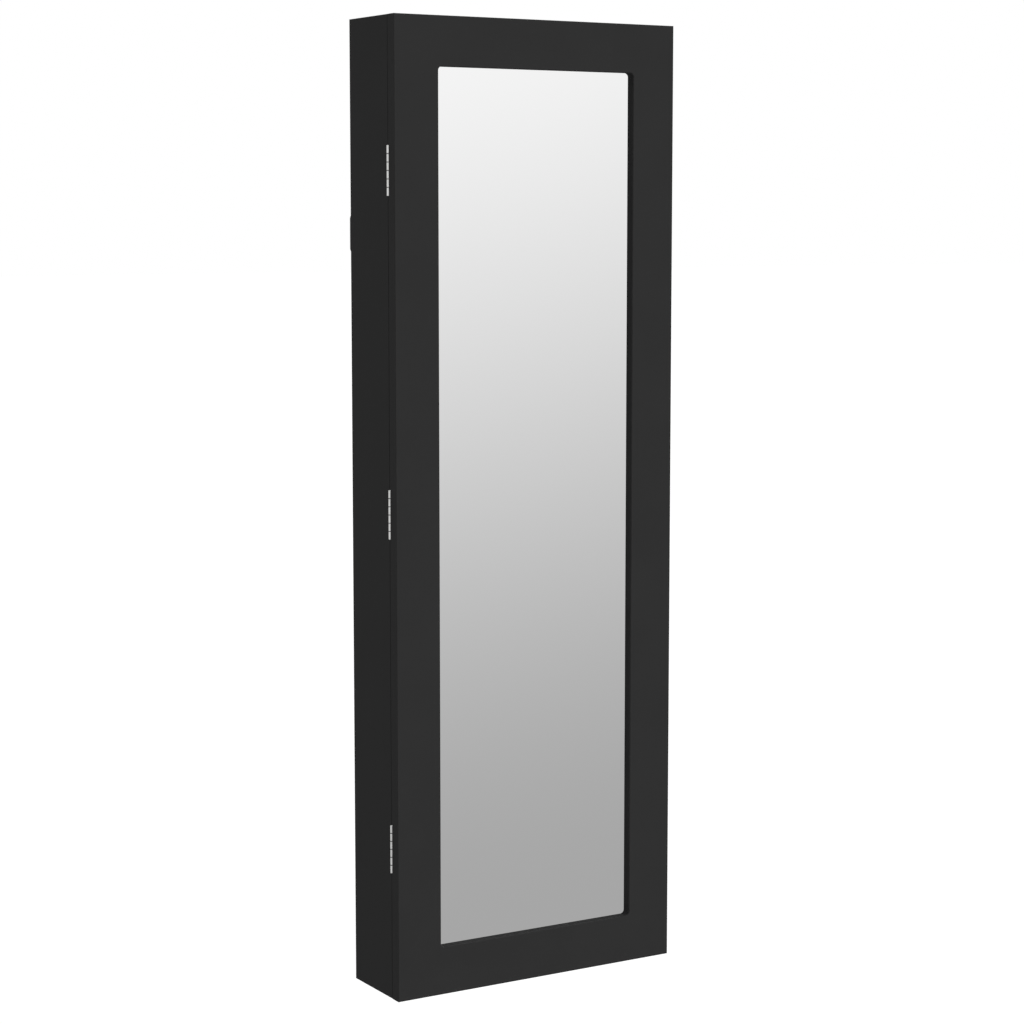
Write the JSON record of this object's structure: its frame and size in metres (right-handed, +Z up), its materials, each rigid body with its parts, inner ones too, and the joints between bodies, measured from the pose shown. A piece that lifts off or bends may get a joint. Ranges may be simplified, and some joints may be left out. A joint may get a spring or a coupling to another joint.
{
  "type": "wall mirror cabinet",
  "caption": "Slim wall-hung cabinet with a full-height framed mirror as its hinged door, and hooks, shelves, a ring tray and a rod inside for jewellery.",
  "frame": {"origin": "on the wall plane, midway between the entry holes of the two hanging plates", "axes": "+X to the right seen from the front, +Y into the wall, +Z up; the mirror faces -Y"},
  "size_m": [0.3012, 0.0872, 0.9],
  "materials": {
    "black_board": "matt black painted fibreboard",
    "black_hardboard": "thin black hardboard",
    "flocked_board": "board covered with black flock",
    "velvet_padding": "foam roll covered with black velvet",
    "beech_dowel": "plain beech",
    "mirror": "silvered float glass",
    "hinge_steel": "bright nickel-plated steel",
    "black_steel": "black coated steel sheet",
    "zinc_screws": "zinc-plated steel",
    "polished_metal": "polished chrome-plated steel",
    "felt": "dark felt",
    "catch_plastic": "moulded black plastic",
    "ferrite": "sintered ferrite",
    "catch_steel": "zinc-plated steel sheet"
  },
  "bodies": {
    "cabinet": {"left_side_panel": "black_board", "right_side_panel": "black_board", "top_panel": "black_board", "bottom_panel": "black_board", "back_panel": "black_hardboard", "ring_shelf": "flocked_board", "middle_shelf": "flocked_board", "lower_shelf": "flocked_board", "necklace_hook_strip": "flocked_board", "ring_tray": "flocked_board", "ring_rolls": "velvet_padding", "corner_dowels": "beech_dowel", "shelf_dowels": "beech_dowel", "hinge_top_cabinet_leaf": "hinge_steel", "hinge_top_pin": "hinge_steel", "hinge_middle_cabinet_leaf": "hinge_steel", "hinge_middle_pin": "hinge_steel", "hinge_bottom_cabinet_leaf": "hinge_steel", "hinge_bottom_pin": "hinge_steel", "hinge_cabinet_screws": "hinge_steel", "hanging_plate_left": "black_steel", "hanging_plate_right": "black_steel", "hanging_plate_screws": "black_steel", "hook_strip_screws": "zinc_screws", "rod_socket_screws": "zinc_screws", "catch_screws": "zinc_screws", "guard_rail_middle": "polished_metal", "guard_rail_lower": "polished_metal", "guard_rail_bottom": "polished_metal", "necklace_hooks": "polished_metal", "bracelet_rod": "polished_metal", "rod_sockets": "polished_metal", "lower_wall_pads": "felt", "catch_housings": "catch_plastic", "catch_magnets": "ferrite", "catch_pole_plates": "catch_steel"},
    "door": {"door_frame": "black_board", "mirror_glass": "mirror", "door_backing_board": "black_hardboard", "backing_board_screws": "zinc_screws", "earring_bars": "polished_metal", "strike_plates": "catch_steel", "strike_plate_screws": "zinc_screws", "hinge_top_door_leaf": "hinge_steel", "hinge_middle_door_leaf": "hinge_steel", "hinge_bottom_door_leaf": "hinge_steel", "hinge_door_screws": "hinge_steel"}
  },
  "joints": [
    {"name": "door_hinge", "type": "hinge", "parent": "cabinet", "child": "door", "pos_m": [-0.1502, -0.0748, -0.249], "axis": [0, 0, -1], "range_deg": [0, 180]}
  ]
}
